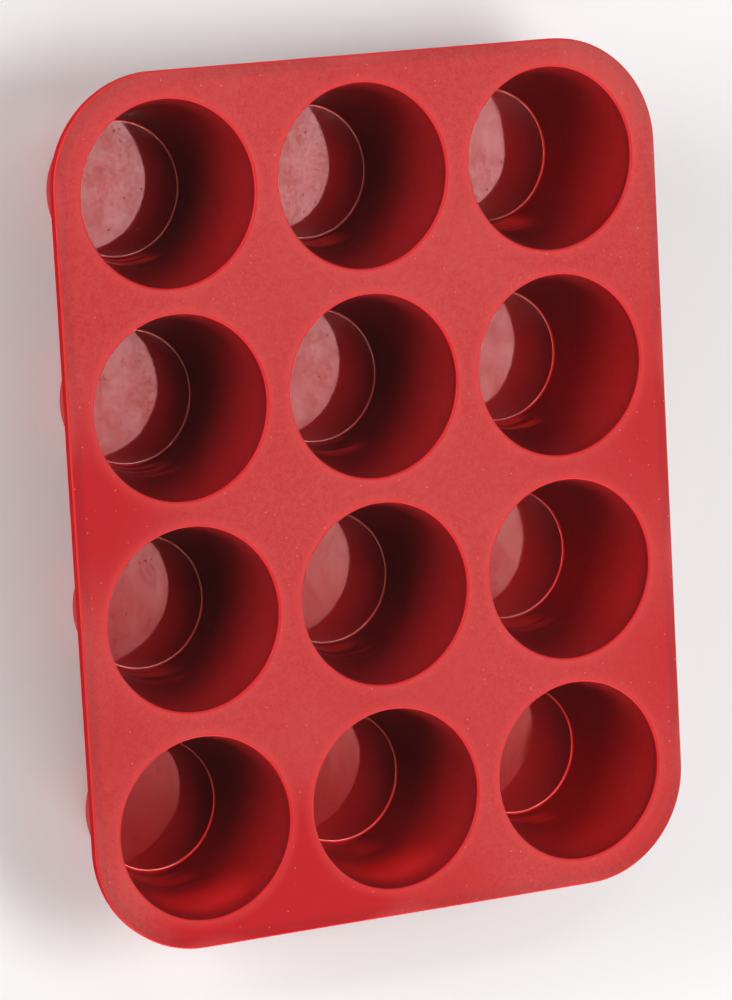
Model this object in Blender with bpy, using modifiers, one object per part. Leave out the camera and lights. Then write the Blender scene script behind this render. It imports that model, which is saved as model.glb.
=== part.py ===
"""Twelve-cup silicone muffin pan, modelled as the members of its one moulding.

Units are metres. The pan lies flat on its cup floors: +Z is up out of the cups, +Y runs along the
long side, and the origin is the centre of the footprint on the surface that the cups stand on.
"""

import math

import bmesh
import bpy
from mathutils import Matrix, Vector

# Grid of cups
CUP_COLUMNS = 3
CUP_ROWS = 4
CUP_PITCH = 0.0795

# One cup: radii are inside, and the wall is measured level across it
OPENING_RADIUS = 0.0350
OPENING_EDGE_RADIUS = 0.0006
FLOOR_RADIUS = 0.0256
FLOOR_FILLET = 0.0015
FOOT_FILLET = 0.0025
CUP_DEPTH = 0.0500
CUP_WALL = 0.0020
FLOOR_THICKNESS = 0.0020

# Deck: the flat web around the openings
DECK_THICKNESS = 0.0020
DECK_MARGIN = 0.0104
DECK_CORNER_RADIUS = 0.0420
DECK_EDGE_RADIUS = 0.0012

# Rim lip: the short skirt under the deck's edge
LIP_DROP = 0.0022
LIP_WIDTH = 0.0030
LIP_EDGE_RADIUS = 0.0006

# Gap between two members that meet
SEAM = 0.0003

# Fineness of the round forms
CIRCLE_STEPS = 36
CORNER_STEPS = 10
EDGE_STEPS = 2
MERGE_DISTANCE = 0.00001
SHARP_ANGLE = math.radians(30)

# How far a cutter runs past what it cuts
CUTTER_OVERRUN = 0.0020

# Sizes and heights that follow from the values above
PAN_HEIGHT = FLOOR_THICKNESS + CUP_DEPTH
MEMBER_TOP = PAN_HEIGHT - DECK_THICKNESS - SEAM
DECK_WIDTH = (CUP_COLUMNS - 1) * CUP_PITCH + 2 * (OPENING_RADIUS + DECK_MARGIN)
DECK_LENGTH = (CUP_ROWS - 1) * CUP_PITCH + 2 * (OPENING_RADIUS + DECK_MARGIN)


def clear_scene():
    """Remove every object that the scene opens with."""
    for old in list(bpy.data.objects):
        bpy.data.objects.remove(old, do_unlink=True)


def new_collection(name):
    """Add a collection to the scene."""
    collection = bpy.data.collections.new(name)
    bpy.context.scene.collection.children.link(collection)
    return collection


def new_object(name, mesh, collection, location=(0, 0, 0)):
    """Add an object for a mesh to a collection."""
    placed = bpy.data.objects.new(name, mesh)
    placed.location = location
    collection.objects.link(placed)
    return placed


def new_cutter(name, mesh, collection, location=(0, 0, 0)):
    """Add a tool solid, which shapes a member and is not one itself."""
    cutter = new_object(name, mesh, collection, location)
    cutter.hide_render = True
    cutter.display_type = "WIRE"
    return cutter


def silicone(name, colour, roughness):
    """Moulded silicone of one colour and finish."""
    material = bpy.data.materials.new(name)
    material.use_nodes = True
    shader = material.node_tree.nodes["Principled BSDF"]
    shader.inputs["Base Color"].default_value = (*colour, 1.0)
    shader.inputs["Roughness"].default_value = roughness
    shader.inputs["Metallic"].default_value = 0.0
    return material


def cup_places():
    """Name and centre of each cup, in rows from +Y and columns from -X."""
    places = []
    for row in range(CUP_ROWS):
        for column in range(CUP_COLUMNS):
            x = (column - (CUP_COLUMNS - 1) / 2) * CUP_PITCH
            y = ((CUP_ROWS - 1) / 2 - row) * CUP_PITCH
            places.append((f"r{row + 1}c{column + 1}", (x, y, 0)))
    return places


def inner_radius(height):
    """Radius inside a cup's straight tapered wall at a height above the surface it stands on."""
    share = (height - FLOOR_THICKNESS) / CUP_DEPTH
    return FLOOR_RADIUS + (OPENING_RADIUS - FLOOR_RADIUS) * share


def outer_radius(height):
    """Radius outside a cup's wall at a height above the surface it stands on."""
    return inner_radius(height) + CUP_WALL


def fillet(before, corner, after, radius):
    """Points of the arc that rounds a profile's corner between its two neighbours."""
    before, corner, after = Vector(before), Vector(corner), Vector(after)
    arriving = (before - corner).normalized()
    leaving = (after - corner).normalized()
    half_angle = arriving.angle(leaving) / 2
    centre = corner + (arriving + leaving).normalized() * radius / math.sin(half_angle)
    tangent_length = radius / math.tan(half_angle)
    start = (corner + arriving * tangent_length - centre).normalized()
    end = (corner + leaving * tangent_length - centre).normalized()
    spokes = [start.slerp(end, step / EDGE_STEPS) for step in range(EDGE_STEPS + 1)]
    return [tuple(centre + spoke * radius) for spoke in spokes]


def profile_mesh(name, profile):
    """Open profile of (radius, height) points, which a Screw modifier turns."""
    points = [(radius, 0, height) for radius, height in profile]
    edges = [(index, index + 1) for index in range(len(points) - 1)]
    mesh = bpy.data.meshes.new(name)
    mesh.from_pydata(points, edges, [])
    return mesh


def turn(target):
    """Turn a profile object right round its own Z axis."""
    screw = target.modifiers.new("Turn", "SCREW")
    screw.axis = "Z"
    screw.angle = 2 * math.pi
    screw.steps = CIRCLE_STEPS
    screw.render_steps = CIRCLE_STEPS
    screw.use_smooth_shade = True
    screw.use_merge_vertices = True
    screw.merge_threshold = MERGE_DISTANCE


def cut(target, cutters):
    """Take every tool in a collection out of a solid."""
    boolean = target.modifiers.new("Cut", "BOOLEAN")
    boolean.operation = "DIFFERENCE"
    boolean.solver = "EXACT"
    boolean.operand_type = "COLLECTION"
    boolean.collection = cutters


def is_upright(edge):
    """True for an edge that runs up a block."""
    first, second = edge.verts
    return abs(first.co.z - second.co.z) > MERGE_DISTANCE


def lies_at(edge, height):
    """True for an edge that lies in the level plane at a height."""
    return all(abs(vertex.co.z - height) < MERGE_DISTANCE for vertex in edge.verts)


def round_edges(block, edges, radius, steps):
    """Round chosen edges of a bmesh."""
    bmesh.ops.bevel(
        block,
        geom=edges,
        offset=radius,
        segments=steps,
        profile=0.5,
        affect="EDGES",
    )


def rounded_block(name, outline, bottom, top, edge_height=None, edge_radius=0):
    """Level block with an outline of (width, length, corner radius), one of its rims softened."""
    width, length, corner_radius = outline
    centre = Matrix.Translation((0, 0, (bottom + top) / 2))
    block = bmesh.new()
    bmesh.ops.create_cube(block, size=1, matrix=centre @ Matrix.Diagonal((width, length, top - bottom, 1)))
    round_edges(block, [edge for edge in block.edges if is_upright(edge)], corner_radius, CORNER_STEPS)
    if edge_height is not None:
        rim = [edge for edge in block.edges if lies_at(edge, edge_height)]
        round_edges(block, rim, edge_radius, EDGE_STEPS)
    mesh = bpy.data.meshes.new(name)
    block.to_mesh(mesh)
    block.free()
    mesh.shade_smooth()
    mesh.set_sharp_from_angle(angle=SHARP_ANGLE)
    return mesh


def opening_profile():
    """Tool for one opening: the cup's taper carried up to a softened edge at the deck's top."""
    above = PAN_HEIGHT + CUTTER_OVERRUN
    below = MEMBER_TOP
    end_radius = inner_radius(below)
    rim_radius = inner_radius(PAN_HEIGHT)
    edge = fillet(
        (rim_radius + OPENING_EDGE_RADIUS, PAN_HEIGHT),
        (rim_radius, PAN_HEIGHT),
        (end_radius, below),
        OPENING_EDGE_RADIUS,
    )
    mouth_radius = edge[0][0]
    return [(0, above), (mouth_radius, above), *edge, (end_radius, below), (0, below)]


def cup_profile():
    """Section of a cup from its floor's centre, up inside, over its top and down to its foot."""
    floor_centre = (0, FLOOR_THICKNESS)
    floor_corner = (FLOOR_RADIUS, FLOOR_THICKNESS)
    inner_top = (inner_radius(MEMBER_TOP), MEMBER_TOP)
    outer_top = (outer_radius(MEMBER_TOP), MEMBER_TOP)
    foot_corner = (outer_radius(0), 0)
    foot_centre = (0, 0)
    return [
        floor_centre,
        *fillet(floor_centre, floor_corner, inner_top, FLOOR_FILLET),
        inner_top,
        outer_top,
        *fillet(outer_top, foot_corner, foot_centre, FOOT_FILLET),
        foot_centre,
    ]


def build_deck(collection):
    """Flat web with a tapered, soft-edged opening over each cup."""
    outline = (DECK_WIDTH, DECK_LENGTH, DECK_CORNER_RADIUS)
    bottom = PAN_HEIGHT - DECK_THICKNESS
    mesh = rounded_block("deck", outline, bottom, PAN_HEIGHT, PAN_HEIGHT, DECK_EDGE_RADIUS)
    deck = new_object("deck", mesh, collection)
    deck.data.materials.append(silicone("deck_silicone", (0.56, 0.035, 0.04), 0.5))

    cutters = new_collection("opening_cutters")
    opening = profile_mesh("opening_cutter", opening_profile())
    for place, centre in cup_places():
        turn(new_cutter(f"opening_cutter_{place}", opening, cutters, centre))
    cut(deck, cutters)
    return deck


def build_rim_lip(collection):
    """Short skirt that hangs under the deck's edge, flush with it outside."""
    outline = (DECK_WIDTH, DECK_LENGTH, DECK_CORNER_RADIUS)
    bottom = MEMBER_TOP - LIP_DROP
    mesh = rounded_block("rim_lip", outline, bottom, MEMBER_TOP, bottom, LIP_EDGE_RADIUS)
    rim_lip = new_object("rim_lip", mesh, collection)
    rim_lip.data.materials.append(silicone("rim_silicone", (0.42, 0.02, 0.025), 0.45))

    cutters = new_collection("lip_cutters")
    inner_outline = tuple(size - 2 * LIP_WIDTH for size in (DECK_WIDTH, DECK_LENGTH))
    inner_outline += (DECK_CORNER_RADIUS - LIP_WIDTH,)
    inner = rounded_block("lip_cutter", inner_outline, bottom - CUTTER_OVERRUN, MEMBER_TOP + CUTTER_OVERRUN)
    new_cutter("lip_cutter", inner, cutters)
    cut(rim_lip, cutters)
    return rim_lip


def build_cups(collection):
    """One cup under each opening."""
    mesh = profile_mesh("cup", cup_profile())
    mesh.materials.append(silicone("cup_silicone", (0.36, 0.012, 0.018), 0.22))
    cups = []
    for place, centre in cup_places():
        cup = new_object(f"cup_{place}", mesh, collection, centre)
        turn(cup)
        cups.append(cup)
    return cups


def build_pan():
    """Build the members and hang them from one empty."""
    clear_scene()
    collection = new_collection("muffin_pan")
    members = [build_deck(collection), build_rim_lip(collection), *build_cups(collection)]
    pan = new_object("muffin_pan", None, collection)
    for member in members:
        member.parent = pan


build_pan()
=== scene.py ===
"""Looks of a twelve-cup silicone muffin pan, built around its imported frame.

The pan is one red moulding. Each of its members, the deck, the rim lip and the cups, is dressed
as its own closed mesh, and neighbouring members share their border points so that no seam shows.
Lengths are in metres, +Z is up out of the cups and +Y runs along the long side.
"""

import logging
import math
import random
from dataclasses import dataclass, field
from enum import Enum, IntEnum
from typing import Iterable, Sequence

import bmesh
import bpy
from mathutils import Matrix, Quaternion, Vector, noise


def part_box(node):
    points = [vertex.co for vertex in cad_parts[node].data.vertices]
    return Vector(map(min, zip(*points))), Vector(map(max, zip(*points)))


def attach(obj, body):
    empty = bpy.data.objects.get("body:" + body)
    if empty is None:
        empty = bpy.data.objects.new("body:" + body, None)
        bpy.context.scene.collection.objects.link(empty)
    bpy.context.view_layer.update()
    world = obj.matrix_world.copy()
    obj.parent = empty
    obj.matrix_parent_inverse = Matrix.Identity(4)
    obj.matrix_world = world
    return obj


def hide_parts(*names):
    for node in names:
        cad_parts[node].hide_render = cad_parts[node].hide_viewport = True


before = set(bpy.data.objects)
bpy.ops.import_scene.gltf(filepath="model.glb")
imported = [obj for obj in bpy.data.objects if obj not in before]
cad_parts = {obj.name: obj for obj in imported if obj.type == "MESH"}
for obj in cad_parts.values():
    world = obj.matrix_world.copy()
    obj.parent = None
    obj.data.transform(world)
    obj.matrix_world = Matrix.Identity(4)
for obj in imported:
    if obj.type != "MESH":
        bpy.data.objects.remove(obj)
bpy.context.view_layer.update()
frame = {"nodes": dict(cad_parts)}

LOG = logging.getLogger("muffin_pan")
MILLIMETRE = 0.001
WELD_DISTANCE = 0.01 * MILLIMETRE
SHARP_ANGLE = math.radians(38)
ROOT_BODY = "root"
WHITE = (1.0, 1.0, 1.0, 1.0)

Colour = tuple[float, float, float]
Pair = tuple[float, float]
Point = tuple[float, float, float]
Socket = bpy.types.NodeSocket


# ---------------------------------------------------------------- shader maths


class Value:
    """A socket of numbers, on which arithmetic adds Math nodes."""

    def __init__(self, graph: "Graph", socket: Socket) -> None:
        """Wrap a socket.

        Args:
            graph: The graph that the socket's node belongs to.
            socket: An output socket that carries one number.
        """
        self.graph = graph
        self.socket = socket

    def _math(self, operation: str, *operands: "Value | float") -> "Value":
        """Add a Math node.

        Args:
            operation: The node's operation.
            *operands: Its inputs, in order.

        Returns:
            The node's result.
        """
        inputs = dict(enumerate(operands))
        return self.graph.value("ShaderNodeMath", inputs, operation=operation)

    def __add__(self, other: "Value | float") -> "Value":
        """Sum with another value."""
        return self._math("ADD", self, other)

    __radd__ = __add__

    def __sub__(self, other: "Value | float") -> "Value":
        """Difference from another value."""
        return self._math("SUBTRACT", self, other)

    def __rsub__(self, other: "Value | float") -> "Value":
        """Another value less this one."""
        return self._math("SUBTRACT", other, self)

    def __mul__(self, other: "Value | float") -> "Value":
        """Product with another value."""
        return self._math("MULTIPLY", self, other)

    __rmul__ = __mul__

    def __pow__(self, other: "Value | float") -> "Value":
        """This value to a power."""
        return self._math("POWER", self, other)

    def __abs__(self) -> "Value":
        """Size of this value without its sign."""
        return self._math("ABSOLUTE", self)

    def at_least(self, other: "Value | float") -> "Value":
        """The larger of two values."""
        return self._math("MAXIMUM", self, other)

    def exceeds(self, other: "Value | float") -> "Value":
        """Mask of where this value is the larger one."""
        return self._math("GREATER_THAN", self, other)

    def repeated(self, reach: float) -> "Value":
        """This value wrapped into the span from -reach to reach."""
        return self._math("WRAP", self, reach, -reach)

    def length_with(self, other: "Value") -> "Value":
        """Length of a flat vector with this value and another as its parts."""
        return (self * self + other * other) ** 0.5

    def ramp(self, low: float, high: float, start: float = 0.0, end: float = 1.0) -> "Value":
        """Smooth change from one number to another.

        Args:
            low: The value at which the change starts.
            high: The value at which it ends, which may be below low.
            start: The number before the change.
            end: The number after it.

        Returns:
            The changed value, between both numbers.
        """
        if high < low:
            low, high, start, end = high, low, end, start
        inputs = {0: self, 1: low, 2: high, 3: start, 4: end}
        return self.graph.value("ShaderNodeMapRange", inputs, interpolation_type="SMOOTHSTEP")


class Graph:
    """The nodes of one material, world or lamp."""

    def __init__(self, owner: bpy.types.Material | bpy.types.World | bpy.types.Light) -> None:
        """Start an empty graph.

        Args:
            owner: The material, world or lamp whose nodes are built.
        """
        owner.use_nodes = True
        self.tree = owner.node_tree
        self.tree.nodes.clear()

    def node(
        self, kind: str, inputs: dict[int | str, object] | None = None, **settings: object
    ) -> bpy.types.Node:
        """Add a node.

        Args:
            kind: The node's type.
            inputs: What goes into its sockets, by index or name: a wrapped value, a socket,
                a number or a tuple.
            **settings: The node's own settings, which are set before its sockets.

        Returns:
            The node.
        """
        made = self.tree.nodes.new(kind)
        for name, setting in settings.items():
            setattr(made, name, setting)
        for key, given in (inputs or {}).items():
            target = made.inputs[key]
            source = given.socket if isinstance(given, Value) else given
            if isinstance(source, Socket):
                self.tree.links.new(source, target)
            else:
                target.default_value = source
        return made

    def value(self, kind: str, inputs: dict[int | str, object], **settings: object) -> Value:
        """Add a node and wrap its first output.

        Args:
            kind: The node's type.
            inputs: What goes into its sockets.
            **settings: The node's own settings.

        Returns:
            The wrapped output.
        """
        return Value(self, self.node(kind, inputs, **settings).outputs[0])

    def place(self) -> Socket:
        """Place on the piece, in its own coordinates."""
        return self.node("ShaderNodeTexCoord").outputs["Object"]

    def parts(self, place: Socket) -> list[Value]:
        """Parts of a place along X, Y and Z."""
        return [Value(self, part) for part in self.node("ShaderNodeSeparateXYZ", {0: place}).outputs]

    def mixed(
        self, factor: "Value | float", first: object, second: object, blend_type: str = "MIX"
    ) -> Socket:
        """Mix two colours.

        Args:
            factor: How much of the second one.
            first: A socket or a colour.
            second: A socket or a colour.
            blend_type: How the second one is laid on the first.

        Returns:
            The mixed colour.
        """
        pair = [(*colour, 1.0) if isinstance(colour, tuple) else colour for colour in (first, second)]
        inputs = {0: factor, 6: pair[0], 7: pair[1]}
        return self.node("ShaderNodeMix", inputs, data_type="RGBA", blend_type=blend_type).outputs[2]

    def shaded(self, factor: "Value | float", colour: object, shade: Colour) -> Socket:
        """Multiply a colour.

        Args:
            factor: How much of the multiplication shows.
            colour: A socket or a colour.
            shade: What it is multiplied by.

        Returns:
            The shaded colour.
        """
        return self.mixed(factor, colour, shade, blend_type="MULTIPLY")


# ---------------------------------------------------------------- patterns and wear


@dataclass(frozen=True)
class Pattern:
    """Soft noise over a surface.

    Attributes:
        size: Width of its patches.
        detail: How many finer layers it has.
        contrast: The raw values that become 0 and 1, where it is sharpened.
        stretch: How much each axis is scaled, less than 1 along a streak.
        layer_strength: Strength of each finer layer next to the one before.
    """

    size: float
    detail: float = 2.0
    contrast: Pair | None = None
    stretch: Point | None = None
    layer_strength: float = 0.55

    def on(self, graph: Graph, place: Socket) -> Value:
        """Read the noise.

        Args:
            graph: The material's nodes.
            place: Where it is read.

        Returns:
            The noise, between 0 and 1.
        """
        if self.stretch:
            place = graph.node("ShaderNodeMapping", {"Vector": place, "Scale": self.stretch}).outputs[0]
        layers = {"Detail": self.detail, "Roughness": self.layer_strength}
        raw = graph.value("ShaderNodeTexNoise", {"Vector": place, "Scale": 1.0 / self.size, **layers})
        return raw.ramp(*self.contrast) if self.contrast else raw

    def swing(self, graph: Graph, place: Socket) -> Value:
        """The noise less its mean, so that it swings round 0."""
        return self.on(graph, place) - 0.5


PATCHES = Pattern(60 * MILLIMETRE, detail=3.0)
PATCH_CONTRAST = (0.3, 0.7)
PATCH_SHARES = (0.15, 0.85)
FINE_GRAIN = Pattern(3 * MILLIMETRE, detail=4.0)
FINEST_GRAIN = Pattern(1.1 * MILLIMETRE, detail=1.0)
RELIEF_GRAIN = Pattern(0.5 * MILLIMETRE)
PIT_GROUPS = Pattern(22 * MILLIMETRE, detail=0.0, contrast=(0.42, 0.58))
FILM_CLOUDS = Pattern(10 * MILLIMETRE, detail=6.0, contrast=(0.32, 0.68))
FILM_GRAINS = Pattern(1.6 * MILLIMETRE, detail=3.0, contrast=(0.32, 0.68))
FILM_STREAKS = Pattern(1.6 * MILLIMETRE, contrast=(0.3, 0.7), stretch=(1.0, 0.12, 1.0))
SCUFF_STREAKS = Pattern(2.5 * MILLIMETRE, detail=3.0, contrast=(0.35, 0.75), stretch=(1.0, 0.08, 1.0))
# Streaks and breaks of the painted reflections low in the cup walls.
REFLECTION_STREAKS = Pattern(5 * MILLIMETRE, detail=3.0, contrast=(0.42, 0.55), stretch=(0.12, 0.12, 1.0))
REFLECTION_BREAKS = Pattern(25 * MILLIMETRE, detail=1.0, contrast=(0.25, 0.50))
STUDIO_FLOOR_MOTTLE = Pattern(0.4)


@dataclass(frozen=True)
class Specks:
    """Round specks scattered at random, as seen from above.

    Attributes:
        spacing: Width of the cells that hold at most one speck each.
        radius: Radius of the largest speck.
        colour: Their colour.
        cover: How much of the surface's own colour they hide.
    """

    spacing: float
    radius: float
    colour: Colour
    cover: float

    def mask(self, graph: Graph, place: Socket, share: float) -> Value:
        """Find the specks.

        Args:
            graph: The material's nodes.
            place: Place on the piece.
            share: The share of cells that hold one.

        Returns:
            A mask, 1 on a speck and 0 elsewhere.
        """
        inputs = {"Vector": place, "Scale": 1.0 / self.spacing}
        cells = graph.node("ShaderNodeTexVoronoi", inputs, voronoi_dimensions="2D").outputs
        chance = graph.value("ShaderNodeSeparateColor", {0: cells["Color"]})
        size = chance.ramp(1.0 - share, 1.0, 0.0, self.radius / self.spacing)
        return size.exceeds(Value(graph, cells["Distance"]))


DUST = Specks(4 * MILLIMETRE, 0.27 * MILLIMETRE, colour=(0.88, 0.44, 0.42), cover=0.42)
PITS = Specks(2.4 * MILLIMETRE, 0.45 * MILLIMETRE, colour=(0.16, 0.004, 0.004), cover=0.6)
PIT_ROUGHNESS = 0.5
PIT_FILM_LOSS = 0.8


@dataclass(frozen=True)
class Spot:
    """A round stretch of the deck where its wear differs, which fades out evenly.

    Attributes:
        centre: Its middle, as x and y.
        radius: How far it reaches.
        strength: How strong it is at its middle.
    """

    centre: Pair
    radius: float
    strength: float

    def mask(self, graph: Graph, place: Socket) -> Value:
        """Find how strong the spot is at each place.

        Args:
            graph: The material's nodes.
            place: Place on the piece.

        Returns:
            The strength, 0 outside it.
        """
        level, middle = {0: place, 1: (1.0, 1.0, 0.0)}, (*self.centre, 0.0)
        flat = graph.node("ShaderNodeVectorMath", level, operation="MULTIPLY").outputs[0]
        apart = graph.node("ShaderNodeVectorMath", {0: flat, 1: middle}, operation="DISTANCE")
        return Value(graph, apart.outputs["Value"]).ramp(self.radius, 0.0, 0.0, self.strength).ramp(0.0, 1.0)


@dataclass(frozen=True)
class Film:
    """A cloudy film that reflects on top of a finish and grows along Y.

    Attributes:
        weight: How strongly it reflects.
        reach: Where along Y it starts and where it is thickest.
        growth: Power of its growth between the two, quick at first below 1.
        clouds: Share of the wide clouds in its texture.
        grains: Share of the fine grain in it.
        streaks: Share of the faint streaks along Y in it.
        ground: Strength that it has between them.
        trace: Strength of the streaks where it hasn't started.
    """

    weight: float
    reach: Pair = (-0.140, 0.150)
    growth: float = 0.6
    clouds: float = 0.50
    grains: float = 0.45
    streaks: float = 0.12
    ground: float = 0.34
    trace: float = 0.10

    def coat(self, graph: Graph, place: Socket) -> Value:
        """Find how strongly the film reflects at each place.

        Args:
            graph: The material's nodes.
            place: Place on the piece.

        Returns:
            The weight of its coat.
        """
        clouds, grains, streaks = (
            pattern.on(graph, place) for pattern in (FILM_CLOUDS, FILM_GRAINS, FILM_STREAKS)
        )
        texture = clouds * self.clouds + grains * self.grains + streaks * self.streaks + self.ground
        share = graph.parts(place)[1].ramp(*self.reach) ** self.growth
        return (texture * share + streaks * (1.0 - share) * self.trace) * self.weight


# ---------------------------------------------------------------- finishes


@dataclass(frozen=True)
class Silicone:
    """One surface finish of the red silicone.

    Attributes:
        name: The material's name.
        deep: Colour where the surface is clean.
        dusty: Colour where fine dust and wear make it paler.
        cloudiness: How much the two change places over the surface.
        mottle: How much fine grain they change places in.
        roughness: Roughness of the clean surface.
        roughness_spread: How much the roughness changes over it.
        grain: Height of its fine grain.
        dust: Share of the surface's small cells that hold a pale dust speck.
        pits: Share of the surface's cells that hold a dark pit.
        gloss: Strength of its reflections.
        sheen_tint: Colour of its reflections.
        film: The cloudy film on top of it.
        veil: Strength of an even white glow that it gives off, painted light that lifts its shadows.
        translucency: Share of the light that enters it and leaves nearby.
        depth: How deep that light goes, for red and for the rest.
    """

    name: str
    deep: Colour
    dusty: Colour
    cloudiness: float
    mottle: float
    roughness: float
    roughness_spread: float
    grain: float
    dust: float = 0.0
    pits: float = 0.0
    gloss: float = 0.22
    sheen_tint: Colour = (1.0, 0.9, 0.86)
    film: Film | None = None
    veil: float = 0.0
    translucency: float = 0.6
    depth: Pair = (2.4 * MILLIMETRE, 0.3 * MILLIMETRE)

    def material(self) -> bpy.types.Material:
        """Make the material.

        Returns:
            The material.
        """
        made = bpy.data.materials.new(self.name)
        graph = Graph(made)
        place = graph.place()
        fine = FINE_GRAIN.swing(graph, place)
        mottle = (fine + FINEST_GRAIN.swing(graph, place)) * self.mottle
        colour = self._tone(graph, place, mottle)
        roughness = self.roughness + fine * self.roughness_spread
        whole: Value | float = 1.0
        if self.dust:
            colour = graph.mixed(DUST.mask(graph, place, self.dust) * DUST.cover, colour, DUST.colour)
        if self.pits:
            pits = PITS.mask(graph, place, self.pits) * PIT_GROUPS.on(graph, place)
            colour = graph.mixed(pits * PITS.cover, colour, PITS.colour)
            roughness = roughness + pits * PIT_ROUGHNESS
            whole = 1.0 - pits * PIT_FILM_LOSS
        red_depth, other_depth = self.depth
        inputs = {
            "Base Color": colour,
            "Roughness": roughness,
            "Specular IOR Level": self.gloss,
            "Specular Tint": (*self.sheen_tint, 1.0),
            "Subsurface Weight": self.translucency,
            "Subsurface Radius": (1.0, other_depth / red_depth, other_depth / red_depth),
            "Subsurface Scale": red_depth,
        }
        if self.film:
            inputs["Coat Weight"] = self.film.coat(graph, place) * whole
            inputs["Coat Roughness"] = self.roughness
        # Painted glow: a faint even white emission that lifts the shadows.
        if self.veil:
            inputs["Emission Color"] = WHITE
            inputs["Emission Strength"] = self.veil
        if self.grain:
            relief = {"Height": RELIEF_GRAIN.on(graph, place), "Distance": self.grain, "Strength": 1.0}
            inputs["Normal"] = graph.node("ShaderNodeBump", relief).outputs[0]
        surface = graph.node("ShaderNodeBsdfPrincipled", inputs)
        graph.node("ShaderNodeOutputMaterial", {"Surface": surface.outputs[0]})
        return made

    def _tone(self, graph: Graph, place: Socket, mottle: Value) -> Socket:
        """Colour of the clean and the worn surface.

        Args:
            graph: The material's nodes.
            place: Place on the piece.
            mottle: Fine grain that is added to the worn share.

        Returns:
            The colour.
        """
        patches = PATCHES.on(graph, place).ramp(*PATCH_CONTRAST, *PATCH_SHARES)
        return graph.mixed(patches * self.cloudiness + mottle, self.deep, self.dusty)


@dataclass(frozen=True)
class DeckSilicone(Silicone):
    """The deck's finish, which differs along its margin and round its openings.

    Attributes:
        layout: Where the openings and the outline lie.
        wear: Mean share of the dusty colour.
        wear_spread: How far the share swings over the deck where it is fully cloudy.
        margin_painted_shade: What the colour is multiplied by on the margin above the rim lip: painted shade
            along the outline.
        margin_reach: How far inside the outline the margin starts and where it is full.
        mouth_tone: Colour close round the openings.
        mouth_cover: How much of the deck's own colour it hides.
        mouth_reach: How far outside an opening that colour starts and where it is full.
        scuffs: Spots of rubbed streaks.
        scuff_evenness: Strength of a scuff between its streaks.
        cleared_and_shaded: Spots where the deck's pale share is lowered, so it is more saturated: partly
            cleaner silicone, partly painted shade where less sheen falls, mostly towards -Y.
    """

    layout: "Layout | None" = None
    wear: float = 0.65
    wear_spread: float = 1.2
    margin_painted_shade: Colour = (0.86, 1.0, 1.0)
    margin_reach: Pair = (5.5 * MILLIMETRE, 3.2 * MILLIMETRE)
    mouth_tone: Colour = (0.74, 0.064, 0.064)
    mouth_cover: float = 0.45
    mouth_reach: Pair = (5.0 * MILLIMETRE, -0.5 * MILLIMETRE)
    scuffs: tuple[Spot, ...] = ()
    scuff_evenness: float = 0.3
    cleared_and_shaded: tuple[Spot, ...] = ()

    def _tone(self, graph: Graph, place: Socket, mottle: Value) -> Socket:
        """Colour of the clean and the worn deck.

        Args:
            graph: The material's nodes.
            place: Place on the piece.
            mottle: Fine grain that is added to the worn share.

        Returns:
            The colour.
        """
        pale = self.wear + PATCHES.swing(graph, place) * (self.wear_spread * self.cloudiness) + mottle
        # Partly painted shade: these spots lower the pale share, mostly towards -Y.
        for cleared_and_shaded_spot in self.cleared_and_shaded:
            pale = pale * (1.0 - cleared_and_shaded_spot.mask(graph, place))
        streaks = SCUFF_STREAKS.on(graph, place) * (1.0 - self.scuff_evenness) + self.scuff_evenness
        for scuff in self.scuffs:
            pale = pale + scuff.mask(graph, place) * streaks
        colour = graph.mixed(pale, self.deep, self.dusty)
        x, y, _ = graph.parts(place)
        colour = graph.mixed(self._near_mouth(x, y) * self.mouth_cover, colour, self.mouth_tone)
        # Painted shade: the deck is darker along its outline.
        return graph.shaded(self._near_outline(x, y), colour, self.margin_painted_shade)

    def _near_mouth(self, x: Value, y: Value) -> Value:
        """Find the ring close round each opening.

        Args:
            x: Place along X.
            y: Place along Y.

        Returns:
            A mask, 1 at an opening's edge.
        """
        half = self.layout.pitch / 2
        apart = x.repeated(half).length_with((y - half).repeated(half))
        return apart.ramp(*(self.layout.profile.opening_radius + reach for reach in self.mouth_reach))

    def _near_outline(self, x: Value, y: Value) -> Value:
        """Find the margin along the deck's outline.

        Args:
            x: Place along X.
            y: Place along Y.

        Returns:
            A mask, 1 at the outline.
        """
        layout, corner = self.layout, self.layout.profile.corner_radius
        across = (abs(x) - (layout.half_width - corner)).at_least(0.0)
        along = (abs(y) - (layout.half_length - corner)).at_least(0.0)
        return across.length_with(along).ramp(*(corner - reach for reach in self.margin_reach))


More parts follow.
